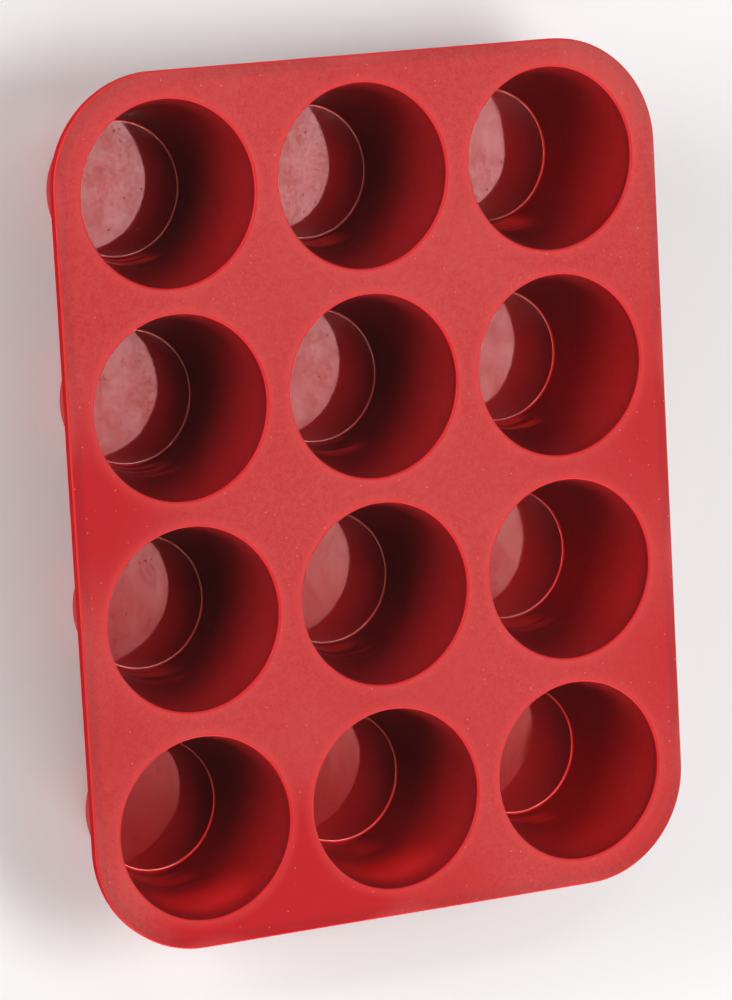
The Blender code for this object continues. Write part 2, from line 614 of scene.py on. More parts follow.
@dataclass(frozen=True)
class WallSilicone(Silicone):
    """The cup walls' finish, with painted shade low down, painted reflections low on each cup's -Y side and
    a painted glow high in the end walls at -Y.

    Attributes:
        layout: Where the cups lie.
        foot_painted_shade: What the colour is multiplied by low down: painted shade in the deep part of each
            cup.
        foot_reach: Heights at which that shade ends and at which it is full.
        foot_fade: Where along X the shade ends and where it is full.
        reflection_tone: Colour of the painted reflections: brighter red streaks where the lit floor and
            walls are mirrored.
        reflection_reach: Heights at which they end and at which they are full.
        reflection_side: Direction from a cup's middle to the side that they lie on.
        reflection_spread: How far that way they start and where they are full, where 1 is at the wall.
        reflection_fade: Where along Y they are weakest and where they are strongest.
        reflection_least: Their strength where they are weakest.
        glow_tone: Colour of the painted glow in the end walls, standing for light from outside that shows
            through.
        glow_end: Where along Y the glow starts and where it is full.
        glow_fade: Where along X they are weakest and where they are strongest.
        glow_least: Their strength where they are weakest.
        glow_foot: Heights at which they start and from which they are full.
        glow_top: Heights at which they end and up to which they are full.
    """

    layout: "Layout | None" = None
    foot_painted_shade: Colour = (0.76, 1.0, 1.0)
    foot_reach: Pair = (34 * MILLIMETRE, 8 * MILLIMETRE)
    foot_fade: Pair = (0.10, 0.0)
    reflection_tone: Colour = (0.92, 0.040, 0.042)
    reflection_reach: Pair = (24 * MILLIMETRE, 12 * MILLIMETRE)
    reflection_side: Pair = (-0.36, -0.93)
    reflection_spread: Pair = (0.70, 0.94)
    reflection_fade: Pair = (-0.15, 0.06)
    reflection_least: float = 0.25
    glow_tone: Colour = (0.46, 0.014, 0.016)
    glow_end: Pair = (-0.140, -0.152)
    glow_fade: Pair = (0.090, 0.0)
    glow_least: float = 0.2
    glow_foot: Pair = (18 * MILLIMETRE, 32 * MILLIMETRE)
    glow_top: Pair = (48 * MILLIMETRE, 38 * MILLIMETRE)

    def _tone(self, graph: Graph, place: Socket, mottle: Value) -> Socket:
        """Colour of the walls.

        Args:
            graph: The material's nodes.
            place: Place on the piece.
            mottle: Fine grain that is added to the worn share.

        Returns:
            The colour.
        """
        x, y, z = graph.parts(place)
        # Painted shade: the walls are darker low in each cup, fading out towards +X.
        foot = z.ramp(*self.foot_reach) * x.ramp(*self.foot_fade)
        colour = graph.shaded(foot, super()._tone(graph, place, mottle), self.foot_painted_shade)
        # Painted reflection: brighter red streaks low on each cup's -Y side, where the lit floor is
        # mirrored.
        reflection_streaks = REFLECTION_STREAKS.on(graph, place) * REFLECTION_BREAKS.on(graph, place)
        colour = graph.mixed(reflection_streaks * self._reflection_room(x, y, z), colour, self.reflection_tone)
        # Painted glow: light from outside shining through the end walls at -Y.
        return graph.mixed(self._painted_glow(x, y, z), colour, self.glow_tone)

    def _reflection_room(self, x: Value, y: Value, z: Value) -> Value:
        """Find where the painted reflections lie, low on one side of each cup.

        Args:
            x: Place along X.
            y: Place along Y.
            z: Height.

        Returns:
            Their greatest strength there.
        """
        half, radius = self.layout.pitch / 2, self.layout.profile.floor_radius
        across, along = (part / radius for part in self.reflection_side)
        aside = x.repeated(half) * across + (y - half).repeated(half) * along
        strength = y.ramp(*self.reflection_fade, self.reflection_least, 1.0)
        return aside.ramp(*self.reflection_spread) * z.ramp(*self.reflection_reach) * strength

    def _painted_glow(self, x: Value, y: Value, z: Value) -> Value:
        """Find the painted glow high in the walls at the -Y end, which fades towards +X.

        Args:
            x: Place along X.
            y: Place along Y.
            z: Height.

        Returns:
            Their strength.
        """
        end = y.ramp(*self.glow_end) * x.ramp(*self.glow_fade, self.glow_least, 1.0)
        return end * z.ramp(*self.glow_foot) * z.ramp(*self.glow_top)


# ---------------------------------------------------------------- mesh building


class Loft:
    """A mesh made of rings of points that are bridged with quads."""

    def __init__(self) -> None:
        """Start an empty mesh."""
        self.mesh = bmesh.new()

    def bridge(self, rings: Iterable[Sequence[Vector]], finish: int = 0) -> None:
        """Join each ring to the next.

        Args:
            rings: Rings with as many points each.
            finish: Index of the material of the new faces.
        """
        rows = [[self.mesh.verts.new(point) for point in ring] for ring in rings]
        for upper, lower in zip(rows, rows[1:]):
            for index in range(len(upper)):
                following = (index + 1) % len(upper)
                corners = (upper[index], upper[following], lower[following], lower[index])
                self.mesh.faces.new(corners).material_index = finish

    def fan(self, ring: Sequence[Vector], centre: Vector, finish: int = 0) -> None:
        """Close a ring with triangles round a centre.

        Args:
            ring: The ring's points.
            centre: The middle point.
            finish: Index of the material of the new faces.
        """
        middle = self.mesh.verts.new(centre)
        corners = [self.mesh.verts.new(point) for point in ring]
        for index, corner in enumerate(corners):
            following = corners[(index + 1) % len(corners)]
            self.mesh.faces.new((corner, following, middle)).material_index = finish

    def piece(self, name: str, materials: Sequence[bpy.types.Material]) -> bpy.types.Object:
        """Weld the rings into one closed mesh and make it an object.

        Args:
            name: The object's name.
            materials: Its materials, in the order of their indices.

        Returns:
            The object.
        """
        bmesh.ops.remove_doubles(self.mesh, verts=self.mesh.verts, dist=WELD_DISTANCE)
        bmesh.ops.recalc_face_normals(self.mesh, faces=self.mesh.faces)
        loose = sum(not edge.is_manifold for edge in self.mesh.edges)
        if loose:
            LOG.warning("%s has %d open edges", name, loose)
        data = bpy.data.meshes.new(name)
        self.mesh.to_mesh(data)
        self.mesh.free()
        data.shade_smooth()
        data.set_sharp_from_angle(angle=SHARP_ANGLE)
        for material in materials:
            data.materials.append(material)
        made = bpy.data.objects.new(name, data)
        bpy.context.scene.collection.objects.link(made)
        return made


def arc(centre: Pair, radius: float, start: float, end: float, steps: int) -> list[Pair]:
    """Points along an arc in a profile's plane.

    Args:
        centre: The arc's centre.
        radius: Its radius.
        start: Angle of its first point, in degrees.
        end: Angle of its last point, in degrees.
        steps: How many stretches it is split into.

    Returns:
        The points, first and last among them.
    """
    angles = [math.radians(start + (end - start) * step / steps) for step in range(steps + 1)]
    return [(centre[0] + radius * math.cos(angle), centre[1] + radius * math.sin(angle)) for angle in angles]


def line(start: Pair, end: Pair, steps: int) -> list[Pair]:
    """Points along a straight in a profile's plane, both ends among them."""
    shares = [step / steps for step in range(steps + 1)]
    return [(start[0] + (end[0] - start[0]) * s, start[1] + (end[1] - start[1]) * s) for s in shares]


def lifted(points: Iterable[Pair], height: float) -> list[Vector]:
    """Flat points at a height."""
    return [Vector((x, y, height)) for x, y in points]


@dataclass(frozen=True)
class Profile:
    """Section of one cup and of the deck's edge, in radii and heights.

    Attributes:
        opening_radius: Radius of a cup where its wall meets the deck's plane.
        floor_radius: Radius where the wall meets the floor.
        floor_dome: How far the floor's middle stands above its edge.
        wall: Thickness of a cup's wall.
        floor_fillet: Rounding between floor and wall.
        foot_fillet: Rounding under the cup.
        opening_edge: Rounding of the opening's upper edge.
        flare: Rounding between the cup's outside and the deck's underside.
        deck_edge: Rounding of the deck's outer edge.
        lip_width: Thickness of the rim lip.
        lip_edge: Rounding of the lip's lower edges.
        corner_radius: Radius of the deck's corners.
        draw_in: How much closer the cups' feet stand than their openings, along X and Y, as a share.
        lean: How far the feet stand aside towards -X.
        sag: How far the deck sags on the whole.
        sag_width: Width of the waves in its sag.
    """

    opening_radius: float = 35.0 * MILLIMETRE
    floor_radius: float = 26.2 * MILLIMETRE
    floor_dome: float = 0.85 * MILLIMETRE
    wall: float = 2.0 * MILLIMETRE
    floor_fillet: float = 0.75 * MILLIMETRE
    foot_fillet: float = 2.5 * MILLIMETRE
    opening_edge: float = 0.9 * MILLIMETRE
    flare: float = 1.6 * MILLIMETRE
    deck_edge: float = 0.6 * MILLIMETRE
    lip_width: float = 3.0 * MILLIMETRE
    lip_edge: float = 0.6 * MILLIMETRE
    corner_radius: float = 42.0 * MILLIMETRE
    draw_in: Pair = (0.0108, 0.0066)
    lean: float = 1.3 * MILLIMETRE
    sag: float = 0.22 * MILLIMETRE
    sag_width: float = 70 * MILLIMETRE


class Side(Enum):
    """The sides of a cell, in clockwise order seen from above."""

    TOP = 0
    RIGHT = 1
    BOTTOM = 2
    LEFT = 3


@dataclass(frozen=True)
class Layout:
    """Where the members lie, read from the frame's boxes.

    Attributes:
        half_width: Half the deck's size along X.
        half_length: Half the deck's size along Y.
        top: Height of the deck's upper face.
        underside: Height of its lower face.
        lip_bottom: Height of the rim lip's lower edge.
        floor_top: Height of the cups' floors inside.
        cups: Centre of each cup, by node.
        profile: The sections of the members.
        steps: How many stretches each side of a cell has.
    """

    half_width: float
    half_length: float
    top: float
    underside: float
    lip_bottom: float
    floor_top: float
    cups: dict[str, Pair]
    profile: Profile = field(default_factory=Profile)
    steps: int = 32

    @staticmethod
    def from_frame(nodes: Iterable[str], floor_thickness: float = 2.0 * MILLIMETRE) -> "Layout":
        """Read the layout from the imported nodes.

        Args:
            nodes: The names of the nodes.
            floor_thickness: Thickness of a cup's floor.

        Returns:
            The layout.
        """
        deck_low, deck_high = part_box("deck")
        lip_low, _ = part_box("rim_lip")
        cups = {}
        for name in sorted(node for node in nodes if node.startswith("cup_")):
            low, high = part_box(name)
            cups[name] = ((low.x + high.x) / 2, (low.y + high.y) / 2)
        return Layout(
            half_width=deck_high.x,
            half_length=deck_high.y,
            top=deck_high.z,
            underside=deck_low.z,
            lip_bottom=lip_low.z,
            floor_top=floor_thickness,
            cups=cups,
        )

    @property
    def pitch(self) -> float:
        """Distance between the centres of neighbouring cups."""
        across = sorted({round(x, 6) for x, _ in self.cups.values()})
        return across[1] - across[0]

    @property
    def slope(self) -> float:
        """Slope of a cup's wall from upright, in degrees."""
        widening = self.profile.opening_radius - self.profile.floor_radius
        return math.degrees(math.atan2(widening, self.top - self.floor_top))

    def corner_reach(self, radius: float) -> float:
        """How far a rounding between a cup's wall and a level face reaches along either."""
        return radius * math.tan(math.radians(90 - self.slope) / 2)

    def inner_radius(self, height: float) -> float:
        """Radius inside a cup's straight wall at a height."""
        share = (height - self.floor_top) / (self.top - self.floor_top)
        return self.profile.floor_radius + (self.profile.opening_radius - self.profile.floor_radius) * share

    def circle(self, centre: Pair, radius: float) -> list[Pair]:
        """Points round a cup's centre, clockwise, that pair with those of its cell's outline."""
        return arc(centre, radius, 135, 135 - 360, 4 * self.steps)[:-1]

    def warp(self, point: Vector) -> Vector:
        """Give the soft moulding its sag.

        Args:
            point: A point of a member.

        Returns:
            The point, lowered a little more the higher it lies, and drawn in and aside the lower.
        """
        profile = self.profile
        wave = noise.noise(Vector((point.x, point.y, 0.0)) / profile.sag_width)
        drop = profile.sag * (1 + wave) * (point.z / self.top) ** 2
        depth = (self.top - point.z) / (self.top - self.floor_top)
        across = point.x * (1 - profile.draw_in[0] * depth) - profile.lean * depth
        along = point.y * (1 - profile.draw_in[1] * depth)
        return Vector((across, along, point.z - drop))


@dataclass(frozen=True)
class Cell:
    """The piece of deck that surrounds one opening.

    Attributes:
        layout: The pan's layout.
        centre: The cup's centre.
    """

    layout: Layout
    centre: Pair

    def is_outer(self, side: Side) -> bool:
        """Whether a side lies on the deck's outline."""
        return abs(self._reach(side) - self.layout.pitch / 2) > WELD_DISTANCE

    def _reach(self, side: Side, inset: float = 0.0) -> float:
        """Distance from the cup's centre to a side.

        Args:
            side: The side.
            inset: How far the deck's outline is drawn in.

        Returns:
            The distance.
        """
        x, y = self.centre
        to_outline = {
            Side.TOP: self.layout.half_length - y,
            Side.RIGHT: self.layout.half_width - x,
            Side.BOTTOM: self.layout.half_length + y,
            Side.LEFT: self.layout.half_width + x,
        }[side]
        if to_outline < self.layout.pitch:
            return to_outline - inset
        return self.layout.pitch / 2

    def side_points(self, side: Side, inset: float = 0.0) -> list[Pair]:
        """Points along a side, clockwise, as seen from above.

        Args:
            side: The side.
            inset: How far the deck's outline is drawn in.

        Returns:
            The points, both ends among them.
        """
        order = list(Side)
        before, after = order[side.value - 1], order[(side.value + 1) % len(order)]
        left, start_arc = self._end(side, before, inset)
        right, end_arc = self._end(side, after, inset)
        reach, steps = self._reach(side, inset), self.layout.steps - len(start_arc) - len(end_arc)
        start = [(-x, y) for x, y in reversed(start_arc)]
        points = [*start, *line((-left, reach), (right, reach), steps), *end_arc]
        turned = (self._turned(point, side) for point in points)
        return [(x + self.centre[0], y + self.centre[1]) for x, y in turned]

    def _end(self, side: Side, neighbour: Side, inset: float) -> tuple[float, list[Pair]]:
        """Find how a side, taken as lying on top, ends at the next one.

        Args:
            side: The side.
            neighbour: The side that it meets.
            inset: How far the deck's outline is drawn in.

        Returns:
            How far its straight reaches, and the half of a rounded corner that follows there.
        """
        across, reach = self._reach(neighbour, inset), self._reach(side, inset)
        if not (self.is_outer(side) and self.is_outer(neighbour)):
            return across, []
        radius = self.layout.profile.corner_radius - inset
        centre = (across - radius, reach - radius)
        return centre[0], arc(centre, radius, 90, 45, self.layout.steps // 2)[1:]

    @staticmethod
    def _turned(point: Pair, side: Side) -> Pair:
        """Turn a point on the top side to another side."""
        x, y = point
        return {Side.TOP: (x, y), Side.RIGHT: (y, -x), Side.BOTTOM: (-x, -y), Side.LEFT: (-y, x)}[side]

    def outline(self, inset: float = 0.0) -> list[Pair]:
        """Points round the cell, clockwise from its upper left corner."""
        return [point for side in Side for point in self.side_points(side, inset)[:-1]]


@dataclass
class Member:
    """A member of the moulding that becomes one piece.

    Attributes:
        layout: The pan's layout.
        loft: Its mesh while it is built.
    """

    layout: Layout
    loft: Loft = field(default_factory=Loft)

    def settle(self, name: str, slot: str, materials: Sequence[bpy.types.Material]) -> bpy.types.Object:
        """Warp the mesh, make it a piece and let it stand for its node.

        Args:
            name: The node that it stands for.
            slot: The record's material slot, which is not used.
            materials: The piece's materials.

        Returns:
            The piece.
        """
        for vertex in self.loft.mesh.verts:
            vertex.co = self.layout.warp(vertex.co)
        made = self.loft.piece(f"{name}_moulding", materials)
        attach(made, ROOT_BODY)
        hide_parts(name)
        LOG.info("%s: %d faces", made.name, len(made.data.polygons))
        return made


class DeckPart(IntEnum):
    """The deck's parts, in the order of their materials."""

    TOP_FACE = 0
    EDGE = 1
    BORE = 2
    SIDE = 3


@dataclass
class Deck(Member):
    """The flat web with its soft-edged openings.

    Attributes:
        blends: Where the rings of a sheet lie between an opening, 0, and its cell's outline, 1.
    """

    blends: tuple[float, ...] = (0.0, 0.06, 0.16, 0.34, 0.56, 0.8, 1.0)

    def _opening_profile(self) -> list[Pair]:
        """Section of an opening's edge, from the bore's lower end up to the flat.

        Returns:
            Its points, as radii and heights.
        """
        layout, radius = self.layout, self.layout.profile.opening_edge
        centre = (layout.inner_radius(layout.top) + layout.corner_reach(radius), layout.top - radius)
        rounding = arc(centre, radius, 180 - layout.slope, 90, steps=5)
        return [(layout.inner_radius(layout.underside), layout.underside), *rounding]

    def _edge_profile(self) -> list[Pair]:
        """Section of the outer edge, from the flat down its side.

        Returns:
            Its points, as insets and heights.
        """
        layout, radius = self.layout, self.layout.profile.deck_edge
        rounding = arc((-radius, layout.top - radius), radius, 90, 0, steps=6)
        return [(-x, z) for x, z in rounding] + [(0.0, layout.underside)]

    def _perimeter(self, inset: float) -> list[Pair]:
        """Points round the whole deck, clockwise.

        Args:
            inset: How far the outline is drawn in.

        Returns:
            The points.
        """
        cells = [Cell(self.layout, centre) for centre in self.layout.cups.values()]
        walks = {Side.TOP: (0, 1), Side.RIGHT: (1, -1), Side.BOTTOM: (0, -1), Side.LEFT: (1, 1)}
        points = []
        for side, (axis, sign) in walks.items():
            outer = [cell for cell in cells if cell.is_outer(side)]
            outer.sort(key=lambda cell: sign * cell.centre[axis])
            for cell in outer:
                points += cell.side_points(side, inset)[:-1]
        return points

    def build(self) -> None:
        """Build the top and bottom sheets, the openings' edges and the outer edge."""
        layout, inset = self.layout, self.layout.profile.deck_edge
        opening = self._opening_profile()
        bore_radius, mouth_radius = opening[0][0], opening[-1][0]
        for centre in layout.cups.values():
            cell = Cell(layout, centre)
            rings = [lifted(layout.circle(centre, r), z) for r, z in opening]
            self.loft.bridge(rings[:2], DeckPart.BORE)
            self.loft.bridge(rings[1:], DeckPart.EDGE)
            self.loft.bridge(self._sheet(cell, mouth_radius, inset, layout.top), DeckPart.TOP_FACE)
            self.loft.bridge(self._sheet(cell, bore_radius, 0.0, layout.underside), DeckPart.SIDE)
        rings = [lifted(self._perimeter(inset), z) for inset, z in self._edge_profile()]
        self.loft.bridge(rings[:-1], DeckPart.EDGE)
        self.loft.bridge(rings[-2:], DeckPart.SIDE)

    def _sheet(self, cell: Cell, radius: float, inset: float, height: float) -> list[list[Vector]]:
        """Rings that run from an opening to its cell's outline.

        Args:
            cell: The cell.
            radius: Radius of the first ring.
            inset: How far the deck's outline is drawn in.
            height: Height of the sheet.

        Returns:
            The rings.
        """
        inner = lifted(self.layout.circle(cell.centre, radius), height)
        outer = lifted(cell.outline(inset), height)
        return [[a.lerp(b, blend) for a, b in zip(inner, outer)] for blend in self.blends]


class RimLip(Deck):
    """The short skirt under the deck's edge."""

    def build(self) -> None:
        """Build the skirt as one closed band."""
        layout, profile = self.layout, self.layout.profile
        radius, width, bottom = profile.lip_edge, profile.lip_width, layout.lip_bottom
        centre = (0, bottom + radius)
        outer_foot = [(radius - x, z) for x, z in arc(centre, radius, 0, -90, steps=4)]
        inner_foot = [(width - radius - x, z) for x, z in arc(centre, radius, -90, -180, steps=4)]
        section = [(0.0, layout.underside), *outer_foot, *inner_foot, (width, layout.underside)]
        rings = [lifted(self._perimeter(inset), z) for inset, z in section]
        self.loft.bridge([*rings, rings[0]])


class CupPart(IntEnum):
    """A cup's parts, in the order of their materials."""

    WALL = 0
    FLOOR = 1
    OUTSIDE = 2
    RING = 3


@dataclass
class Cup(Member):
    """One tapered cup with its floor.

    Attributes:
        name: The cup's node.
        seed: Seed of its floor's unevenness.
        wall_rings: How many stretches its wall is split into.
        floor_rings: How many stretches its floor is split into.
        floor_edges: Insets of the rings close to the floor's edge.
        dome_lean: How much the floor's dome leans towards the pan's middle.
        swell: Height of the floor's unevenness.
        swell_width: Width of its waves.
        swell_fade: Power with which it fades towards the floor's edge.
        spread: How far apart the cups' places in the noise are drawn.
    """

    name: str = ""
    seed: int = 0
    wall_rings: int = 12
    floor_rings: int = 18
    floor_edges: Pair = (0.08 * MILLIMETRE, 0.25 * MILLIMETRE)
    dome_lean: float = 0.65
    swell: float = 0.03 * MILLIMETRE
    swell_width: float = 12 * MILLIMETRE
    swell_fade: int = 6
    spread: float = 50.0

    def __post_init__(self) -> None:
        """Note its centre and draw where its unevenness is read."""
        self.centre = self.layout.cups[self.name]
        self.shift = Vector([random.Random(self.seed).uniform(-self.spread, self.spread)] * 3)

    def _ring(self, radius: float, height: float) -> list[Vector]:
        """Points of one ring of the cup."""
        return lifted(self.layout.circle(self.centre, radius), height)

    def _floor_ring(self, radius: float) -> list[Vector]:
        """Points of one ring of the slightly domed, uneven floor."""
        return [self._domed(point) for point in self._ring(radius, self.layout.floor_top)]

    def _domed(self, point: Vector) -> Vector:
        """Raise a point of the floor by the dome and its unevenness.

        Args:
            point: The point on the level floor.

        Returns:
            The raised point.
        """
        layout, profile = self.layout, self.layout.profile
        centre = Vector(self.centre)
        offset = (Vector(point.xy) - centre) / (profile.floor_radius - profile.floor_fillet)
        apart = min(1.0, offset.length)
        outward = Vector((centre.x / layout.half_width, centre.y / layout.half_length))
        dome = profile.floor_dome * (1 - apart**2) * (1 - self.dome_lean * outward.dot(offset))
        swell = noise.noise(point / self.swell_width + self.shift)
        return point + Vector((0, 0, dome + self.swell * swell * (1 - apart**self.swell_fade)))

    def build(self) -> None:
        """Build the inside wall, the floor and the outside."""
        layout, fillet = self.layout, self.layout.profile.floor_fillet
        corner = (layout.profile.floor_radius - layout.corner_reach(fillet), layout.floor_top + fillet)
        rounding = arc(corner, fillet, -90, -layout.slope, steps=10)
        top = (layout.inner_radius(layout.underside), layout.underside)
        wall = line(rounding[-1], top, self.wall_rings)
        edge = rounding[0][0]
        radii = [edge, *(edge - inset for inset in self.floor_edges)]
        radii += [edge * step / self.floor_rings for step in range(self.floor_rings - 1, 0, -1)]
        self.loft.bridge([self._ring(r, z) for r, z in wall[::-1]], CupPart.WALL)
        self.loft.bridge([self._ring(r, z) for r, z in rounding[::-1]], CupPart.RING)
        self.loft.bridge([self._floor_ring(radius) for radius in radii], CupPart.FLOOR)
        middle = self._domed(Vector((*self.centre, layout.floor_top)))
        self.loft.fan(self._floor_ring(radii[-1]), middle, CupPart.FLOOR)
        self._build_outside(top)

    def _build_outside(self, top: Pair) -> None:
        """Build the outside, down to the foot's middle.

        Args:
            top: Radius and height at which the inside ends and the outside starts.
        """
        layout, profile = self.layout, self.layout.profile
        flare, foot = profile.flare, profile.foot_fillet
        outer_top = layout.inner_radius(layout.underside - flare) + profile.wall
        collar = arc((outer_top + flare, layout.underside - flare), flare, 90, 180, steps=5)
        foot_radius = layout.inner_radius(0.0) + profile.wall - layout.corner_reach(foot)
        foot_arc = arc((foot_radius, foot), foot, -layout.slope, -90, steps=6)
        wall = line(collar[-1], foot_arc[0], self.wall_rings)
        section = [top, *collar[:-1], *wall, *foot_arc[1:]]
        self.loft.bridge([self._ring(r, z) for r, z in section], CupPart.OUTSIDE)
        self.loft.fan(self._ring(*foot_arc[-1]), Vector((*self.centre, 0.0)), CupPart.OUTSIDE)


# ---------------------------------------------------------------- studio


@dataclass(frozen=True)
class Softbox:
    """A square or oblong soft lamp.

    Attributes:
        name: The lamp's name.
        place: Where its middle is.
        aim: The point that it faces.
        size: Its width and height.
        radiance: How bright its face is, where 1 is white.
        turn: How far it is turned about its own axis, in degrees.
        fade: The stretch of its width over which it brightens, from 0 at one end to 1 at the other.
    """

    name: str
    place: Point
    aim: Point
    size: Pair
    radiance: float
    turn: float = 0.0
    fade: Pair | None = None

    def build(self) -> bpy.types.Object:
        """Add the lamp.

        Returns:
            The lamp.
        """
        data = bpy.data.lights.new(self.name, "AREA")
        data.shape = "RECTANGLE"
        data.size, data.size_y = self.size
        data.energy = self.radiance * math.pi * self.size[0] * self.size[1]
        if self.fade:
            self._grade(data)
        lamp = bpy.data.objects.new(self.name, data)
        lamp.location = self.place
        facing = (Vector(self.aim) - Vector(self.place)).to_track_quat("-Z", "Y")
        lamp.rotation_mode = "QUATERNION"
        lamp.rotation_quaternion = facing @ Quaternion((0, 0, 1), math.radians(self.turn))
        bpy.context.scene.collection.objects.link(lamp)
        return lamp

    def _grade(self, data: bpy.types.AreaLight) -> None:
        """Let the face fade across its width.

        Args:
            data: The lamp's data.
        """
        graph = Graph(data)
        across = graph.parts(graph.node("ShaderNodeNewGeometry").outputs["Parametric"])[0]
        glow = graph.node("ShaderNodeEmission", {"Strength": across.ramp(*self.fade)})
        graph.node("ShaderNodeOutputLight", {"Surface": glow.outputs[0]})


@dataclass(frozen=True)
class Viewpoint:
    """The main camera.

    Attributes:
        aim: The point that it looks at.
        distance: How far the camera stands from it.
        azimuth: Direction that it stands in, in degrees, 0 at -Y and 90 at +X.
        elevation: How high it stands, in degrees.
        roll: How far it is turned about its own axis, in degrees.
        lens: Focal length on a sensor of 36 mm, in millimetres.
    """

    aim: Point = (-0.0063, -0.0029, 0.052)
    distance: float = 1.802
    azimuth: float = -109.30
    elevation: float = 63.16
    roll: float = -104.27
    lens: float = 171.84

    def build(self) -> bpy.types.Object:
        """Add the camera and make it the scene's.

        Returns:
            The camera.
        """
        data = bpy.data.cameras.new("camera")
        data.lens = self.lens
        camera = bpy.data.objects.new("camera", data)
        azimuth, elevation = math.radians(self.azimuth), math.radians(self.elevation)
        level = math.cos(elevation)
        back = Vector((math.sin(azimuth) * level, -math.cos(azimuth) * level, math.sin(elevation)))
        camera.location = Vector(self.aim) + back * self.distance
        upright = (-back).to_track_quat("-Z", "Y")
        rolled = upright @ Quaternion((0, 0, 1), -math.radians(self.roll))
        camera.rotation_mode = "QUATERNION"
        camera.rotation_quaternion = rolled
        bpy.context.scene.collection.objects.link(camera)
        bpy.context.scene.camera = camera
        return camera


@dataclass(frozen=True)
class Studio:
    """Plain pale floor, soft lamps and an even surround.

    Attributes:
        softboxes: The lamps.
        viewpoint: The camera.
        floor_reach: Half the floor's width.
        floor_gap: How far it lies below the pan's feet, so that the faces don't meet.
        floor_tones: The two pale colours of the floor.
        floor_mottle: How much they change places.
        floor_roughness: How rough the floor is.
        floor_fade: How far out the floor starts to fade into the surround and where it has.
        ambient: How bright the surround is as a light on the pan.
    """

    softboxes: Sequence[Softbox]
    viewpoint: Viewpoint
    floor_reach: float = 6.0
    floor_gap: float = 0.2 * MILLIMETRE
    floor_tones: tuple[Colour, Colour] = ((0.86, 0.855, 0.85), (0.82, 0.815, 0.81))
    floor_mottle: float = 0.3
    floor_roughness: float = 0.8
    floor_fade: Pair = (0.45, 1.6)
    ambient: float = 0.02

    def build(self) -> None:
        """Build the floor, the lamps, the surround and the camera."""
        bpy.context.scene.view_settings.view_transform = "Standard"
        self._build_floor()
        self._build_surround()
        for softbox in self.softboxes:
            softbox.build()
        self.viewpoint.build()

    def _build_floor(self) -> None:
        """Lay the floor that the pan stands on."""
        plane = bmesh.new()
        bmesh.ops.create_grid(plane, x_segments=8, y_segments=8, size=self.floor_reach)
        data = bpy.data.meshes.new("studio_floor")
        plane.to_mesh(data)
        plane.free()
        data.materials.append(self._floor_material())
        floor = bpy.data.objects.new("studio_floor", data)
        floor.location.z = -self.floor_gap
        bpy.context.scene.collection.objects.link(floor)

    def _floor_material(self) -> bpy.types.Material:
        """Make the pale floor, which turns plain white far out.

        Returns:
            The material.
        """
        material = bpy.data.materials.new("studio_floor")
        graph = Graph(material)
        place = graph.place()
        colour = graph.mixed(STUDIO_FLOOR_MOTTLE.on(graph, place) * self.floor_mottle, *self.floor_tones)
        matt = {"Base Color": colour, "Roughness": self.floor_roughness}
        surface = graph.node("ShaderNodeBsdfPrincipled", matt).outputs[0]
        glow = graph.node("ShaderNodeEmission", {"Color": WHITE, "Strength": 1.0}).outputs[0]
        away = graph.node("ShaderNodeVectorMath", {0: place}, operation="LENGTH").outputs["Value"]
        share = Value(graph, away).ramp(*self.floor_fade) * self._seen(graph)
        mixed = graph.node("ShaderNodeMixShader", {0: share, 1: surface, 2: glow})
        graph.node("ShaderNodeOutputMaterial", {"Surface": mixed.outputs[0]})
        return material

    @staticmethod
    def _seen(graph: Graph) -> Value:
        """Find the rays that come from the camera, from a reflection or through a piece.

        Args:
            graph: The nodes of the floor or of the surround.

        Returns:
            A mask, 1 for those rays.
        """
        rays = graph.node("ShaderNodeLightPath").outputs
        names = ("Is Camera Ray", "Is Glossy Ray", "Is Transmission Ray")
        camera, glossy, through = (Value(graph, rays[name]) for name in names)
        return (camera + glossy + through).ramp(0.0, 1.0)

    def _build_surround(self) -> None:
        """Make the world white to the rays that see it and a dim even light to the pan."""
        world = bpy.data.worlds.new("surround")
        bpy.context.scene.world = world
        graph = Graph(world)
        strength = self._seen(graph) * (1.0 - self.ambient) + self.ambient
        light = graph.node("ShaderNodeBackground", {"Color": WHITE, "Strength": strength})
        graph.node("ShaderNodeOutputWorld", {"Surface": light.outputs[0]})


# ---------------------------------------------------------------- the pan

# Lighter, more saturated copy of the silicone on the rounded edges: painted highlight along them.
EDGE_HIGHLIGHT_FINISH = Silicone(
    name="edge_painted_highlight",
    deep=(0.62, 0.027, 0.032),
    dusty=(0.68, 0.042, 0.045),
    cloudiness=0.3,
    mottle=0.3,
    roughness=0.34,
    roughness_spread=0.05,
    grain=0.01 * MILLIMETRE,
    gloss=0.075,
)
# Darker copy of the silicone: painted shade on the cups' floors, under real gloss.
FLOOR_FINISH = Silicone(
    name="cup_floor_mirror",
    deep=(0.345, 0.0062, 0.0084),
    dusty=(0.400, 0.0128, 0.0150),
    cloudiness=0.6,
    mottle=0.8,
    roughness=0.055,
    roughness_spread=0.03,
    grain=0.0,
    pits=0.24,
    dust=0.01,
    gloss=0.27,
    sheen_tint=(1.0, 0.08, 0.07),
    film=Film(weight=0.38),
    veil=0.0035,
    translucency=1.0,
    depth=(5 * MILLIMETRE, 0.4 * MILLIMETRE),
)
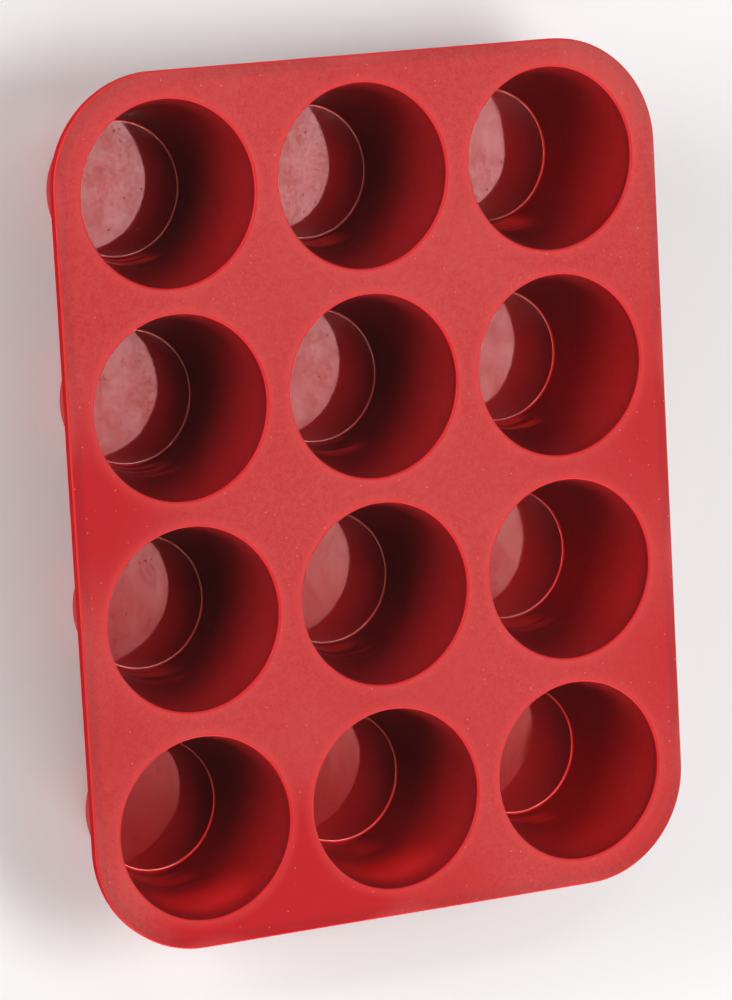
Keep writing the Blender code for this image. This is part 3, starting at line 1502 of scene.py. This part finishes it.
# Pale pink copy of the silicone on the floor's rounding: painted highlight of the thin bright line where
# floor meets wall.
RING_HIGHLIGHT_FINISH = Silicone(
    name="floor_ring_painted_highlight",
    deep=(0.84, 0.072, 0.072),
    dusty=(0.90, 0.100, 0.100),
    cloudiness=0.3,
    mottle=0.2,
    roughness=0.10,
    roughness_spread=0.02,
    grain=0.0,
    gloss=0.9,
    sheen_tint=(1.0, 0.46, 0.43),
    translucency=1.0,
    depth=(9 * MILLIMETRE, 0.4 * MILLIMETRE),
)
# Darker copy of the silicone: painted shade on the cups' outsides.
OUTSIDE_FINISH = Silicone(
    name="outside_satin",
    deep=(0.325, 0.0072, 0.0096),
    dusty=(0.385, 0.0145, 0.0180),
    cloudiness=0.5,
    mottle=0.8,
    roughness=0.42,
    roughness_spread=0.08,
    grain=0.02 * MILLIMETRE,
    gloss=0.12,
    translucency=1.0,
    depth=(9 * MILLIMETRE, 0.4 * MILLIMETRE),
)
# Darker copy of the silicone on the deck's side and underside and on the rim lip: painted shade.
SIDE_SHADE_FINISH = Silicone(
    name="side_painted_shade",
    deep=(0.27, 0.0024, 0.0042),
    dusty=(0.32, 0.0054, 0.0072),
    cloudiness=0.5,
    mottle=0.8,
    roughness=0.50,
    roughness_spread=0.08,
    grain=0.02 * MILLIMETRE,
    gloss=0.04,
)


def deck_finish(layout: Layout) -> DeckSilicone:
    """Finish of the deck.

    Args:
        layout: The pan's layout.

    Returns:
        The finish.
    """
    return DeckSilicone(
        name="deck_satin",
        deep=(0.520, 0.007, 0.012),
        dusty=(0.581, 0.067, 0.063),
        cloudiness=0.6,
        mottle=0.85,
        roughness=0.48,
        roughness_spread=0.08,
        grain=0.02 * MILLIMETRE,
        dust=0.18,
        gloss=0.12,
        layout=layout,
        scuffs=(
            Spot(centre=(0.108, 0.150), radius=0.045, strength=0.9),
            Spot(centre=(-0.112, -0.135), radius=0.035, strength=0.5),
            Spot(centre=(-0.118, -0.060), radius=0.045, strength=0.3),
            Spot(centre=(-0.030, -0.090), radius=0.035, strength=0.3),
        ),
        # Partly cleaner silicone, partly painted shade where less sheen falls, mostly towards -Y.
        cleared_and_shaded=(
            Spot(centre=(-0.050, -0.160), radius=0.072, strength=2.2),
            Spot(centre=(0.020, -0.164), radius=0.050, strength=0.6),
            Spot(centre=(0.115, -0.155), radius=0.050, strength=0.5),
            Spot(centre=(-0.120, 0.005), radius=0.065, strength=1.0),
            Spot(centre=(-0.115, -0.080), radius=0.050, strength=0.4),
            Spot(centre=(0.122, -0.080), radius=0.080, strength=0.6),
            Spot(centre=(0.125, 0.015), radius=0.090, strength=0.8),
            Spot(centre=(0.000, -0.100), radius=0.130, strength=0.35),
        ),
    )


def wall_finish(layout: Layout) -> WallSilicone:
    """Finish of the cups' walls.

    Args:
        layout: The pan's layout.

    Returns:
        The finish.
    """
    # Darker copy of the silicone: painted shade on the cups' insides.
    return WallSilicone(
        name="cup_wall_painted_shade",
        deep=(0.240, 0.0044, 0.0060),
        dusty=(0.292, 0.0082, 0.0105),
        cloudiness=0.5,
        mottle=1.0,
        roughness=0.38,
        roughness_spread=0.06,
        grain=0.008 * MILLIMETRE,
        gloss=0.044,
        veil=0.004,
        translucency=1.0,
        depth=(7 * MILLIMETRE, 0.4 * MILLIMETRE),
        layout=layout,
    )


SOFTBOXES = (
    Softbox(
        "key_softbox",
        place=(0.64, -0.16, 1.40),
        aim=(0.64, -0.16, 0.0),
        size=(0.95, 0.68),
        radiance=8.3,
        turn=75,
        fade=(-0.17, 0.44),
    ),
    Softbox("crown_softbox", place=(0.0, 0.85, 1.40), aim=(0.0, 0.0, 0.05), size=(1.0, 0.15), radiance=5.0),
    Softbox("side_softbox", place=(-1.45, 0.62, 0.62), aim=(0.0, 0.0, 0.05), size=(1.1, 0.7), radiance=11.0),
    Softbox("flank_softbox", place=(1.5, -0.05, 0.20), aim=(0.0, 0.0, 0.03), size=(1.2, 0.35), radiance=9.6),
    Softbox("low_softbox", place=(0.18, -1.38, 0.22), aim=(0.0, 0.0, 0.05), size=(1.4, 0.4), radiance=13.2),
)


def build_pan(layout: Layout) -> list[bpy.types.Object]:
    """Build and dress every member of the moulding.

    Args:
        layout: The pan's layout.

    Returns:
        The pieces.
    """
    # Apart from the deck's top face, the finishes are lighter and darker copies of one silicone: painted
    # highlight on the edges and floor rings, painted shade on the walls, floors, outsides, sides and lip.
    plain = (EDGE_HIGHLIGHT_FINISH, SIDE_SHADE_FINISH, FLOOR_FINISH, OUTSIDE_FINISH, RING_HIGHLIGHT_FINISH)
    top_face, wall = deck_finish(layout).material(), wall_finish(layout).material()
    edge, side, floor, outside, ring = (finish.material() for finish in plain)
    deck = Deck(layout)
    deck.build()
    pieces = [deck.settle("deck", "deck_silicone", (top_face, edge, wall, side))]
    lip = RimLip(layout)
    lip.build()
    pieces.append(lip.settle("rim_lip", "rim_silicone", (side,)))
    for seed, name in enumerate(layout.cups):
        cup = Cup(layout, name=name, seed=seed)
        cup.build()
        pieces.append(cup.settle(name, "cup_silicone", (wall, floor, outside, ring)))
    return pieces


def corners(low: Vector, high: Vector) -> list[list[float]]:
    """Both corners of a box as plain lists."""
    return [list(low), list(high)]


def main() -> None:
    """Build the pan and its studio."""
    logging.basicConfig(level=logging.INFO, format="%(name)s: %(message)s")
    layout = Layout.from_frame(frame["nodes"])
    pieces = build_pan(layout)
    Studio(SOFTBOXES, Viewpoint()).build()
    LOG.info("%d pieces", len(pieces))


if __name__ == "__main__":
    main()
